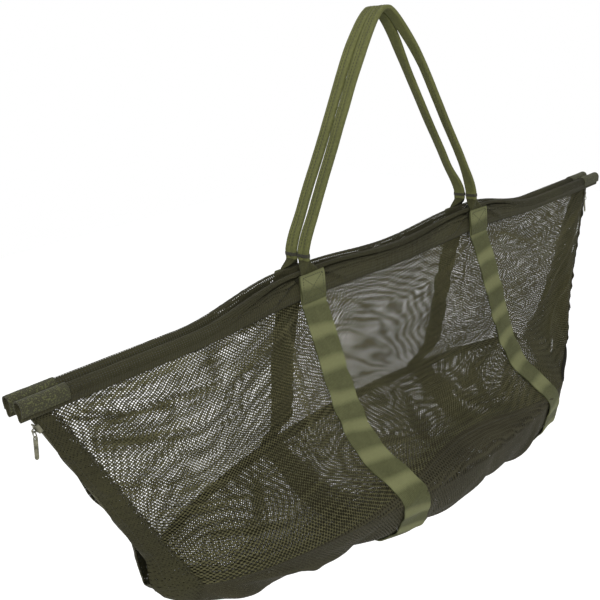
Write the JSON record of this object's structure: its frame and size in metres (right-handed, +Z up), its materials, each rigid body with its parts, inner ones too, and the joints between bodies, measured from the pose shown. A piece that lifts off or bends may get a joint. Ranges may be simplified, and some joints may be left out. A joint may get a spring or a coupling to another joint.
{
  "type": "fish weigh sling",
  "caption": "Long zipped mesh bag hung from bars, with a boat-shaped base, webbing straps underneath and folded webbing handles, for weighing a fish on a hanging scale.",
  "frame": {"origin": "the hang point, on the middle plane under the tops of the two handles", "axes": "+X along the bars, +Y from the front wall to the rear wall, +Z up"},
  "size_m": [1.1, 0.2696, 0.6486],
  "materials": {
    "olive_webbing": "woven olive webbing, matt",
    "olive_mesh": "knitted open mesh, dark olive, see-through between the threads",
    "dense_hem": "doubled fine mesh, dark olive, close to opaque",
    "patch_cloth": "coarse cloth, olive with lighter specks",
    "zip_cloth": "woven zip tape with its coil",
    "dark_thread": "dense stitching in dark thread",
    "gunmetal": "dull gunmetal plating",
    "grey_tube": "plain tube, hidden in the hem",
    "black_rubber": "plain plug, hidden in the hem's end"
  },
  "bodies": {
    "front_half": {"bar_front": "grey_tube", "bar_cap_front_left": "black_rubber", "bar_cap_front_right": "black_rubber", "sleeve_front": "dense_hem", "sleeve_end_front_left": "patch_cloth", "sleeve_end_front_right": "patch_cloth", "wall_front": "olive_mesh", "base_front": "olive_mesh", "base_binding_front": "dense_hem", "end_band_front_left": "dense_hem", "end_band_front_right": "dense_hem", "zip_tape_front_left": "zip_cloth", "zip_tape_front_right": "zip_cloth", "strap_front_left": "olive_webbing", "strap_front_right": "olive_webbing", "handle_root_front_left": "olive_webbing", "handle_root_front_right": "olive_webbing", "zip_stop_left": "gunmetal", "zip_stop_right": "gunmetal"},
    "rear_half": {"bar_rear": "grey_tube", "bar_cap_rear_left": "black_rubber", "bar_cap_rear_right": "black_rubber", "sleeve_rear": "dense_hem", "sleeve_end_rear_left": "patch_cloth", "sleeve_end_rear_right": "patch_cloth", "wall_rear": "olive_mesh", "base_rear": "olive_mesh", "base_binding_rear": "dense_hem", "end_band_rear_left": "dense_hem", "end_band_rear_right": "dense_hem", "zip_tape_rear_left": "zip_cloth", "zip_tape_rear_right": "zip_cloth", "strap_rear_left": "olive_webbing", "strap_rear_right": "olive_webbing", "handle_root_rear_left": "olive_webbing", "handle_root_rear_right": "olive_webbing"},
    "handle_front": {"handle_front": "olive_webbing", "bartack_front_left": "dark_thread", "bartack_front_right": "dark_thread"},
    "handle_rear": {"handle_rear": "olive_webbing", "bartack_rear_left": "dark_thread", "bartack_rear_right": "dark_thread"},
    "zip_slider_left": {"zip_slider_left": "gunmetal"},
    "pull_ring_left": {"pull_ring_left": "gunmetal"},
    "pull_tab_left": {"pull_tab_left": "gunmetal"},
    "zip_slider_right": {"zip_slider_right": "gunmetal"},
    "pull_ring_right": {"pull_ring_right": "gunmetal"},
    "pull_tab_right": {"pull_tab_right": "gunmetal"}
  },
  "joints": [
    {"name": "mouth_open", "type": "hinge", "parent": "front_half", "child": "rear_half", "pos_m": [0, 0, -0.644], "axis": [-1, 0, 0], "range_deg": [0, 70]},
    {"name": "handle_fold_front", "type": "hinge", "parent": "front_half", "child": "handle_front", "pos_m": [0, -0.01975, -0.274], "axis": [1, 0, 0], "range_deg": [0, 150]},
    {"name": "handle_fold_rear", "type": "hinge", "parent": "rear_half", "child": "handle_rear", "pos_m": [0, 0.01975, -0.274], "axis": [-1, 0, 0], "range_deg": [0, 150]},
    {"name": "zip_draw_left", "type": "slide", "parent": "front_half", "child": "zip_slider_left", "axis": [0.4059, 0, -0.9139], "range_m": [0, 0.235]},
    {"name": "ring_swing_left", "type": "hinge", "parent": "zip_slider_left", "child": "pull_ring_left", "pos_m": [-0.53445, 0, -0.33696], "axis": [0, 1, 0], "range_deg": [-10, 100]},
    {"name": "tab_swing_left", "type": "hinge", "parent": "pull_ring_left", "child": "pull_tab_left", "pos_m": [-0.53445, 0, -0.34416], "axis": [0, 1, 0], "range_deg": [-25, 60]},
    {"name": "zip_draw_right", "type": "slide", "parent": "front_half", "child": "zip_slider_right", "axis": [-0.4059, 0, -0.9139], "range_m": [0, 0.235]},
    {"name": "ring_swing_right", "type": "hinge", "parent": "zip_slider_right", "child": "pull_ring_right", "pos_m": [0.53445, 0, -0.33696], "axis": [0, -1, 0], "range_deg": [-10, 100]},
    {"name": "tab_swing_right", "type": "hinge", "parent": "pull_ring_right", "child": "pull_tab_right", "pos_m": [0.53445, 0, -0.34416], "axis": [0, -1, 0], "range_deg": [-25, 60]}
  ],
  "couplings": [
    {"joint": "zip_draw_left", "follows": "mouth_open", "m_per_rad": 0.19},
    {"joint": "zip_draw_right", "follows": "mouth_open", "m_per_rad": 0.19}
  ]
}
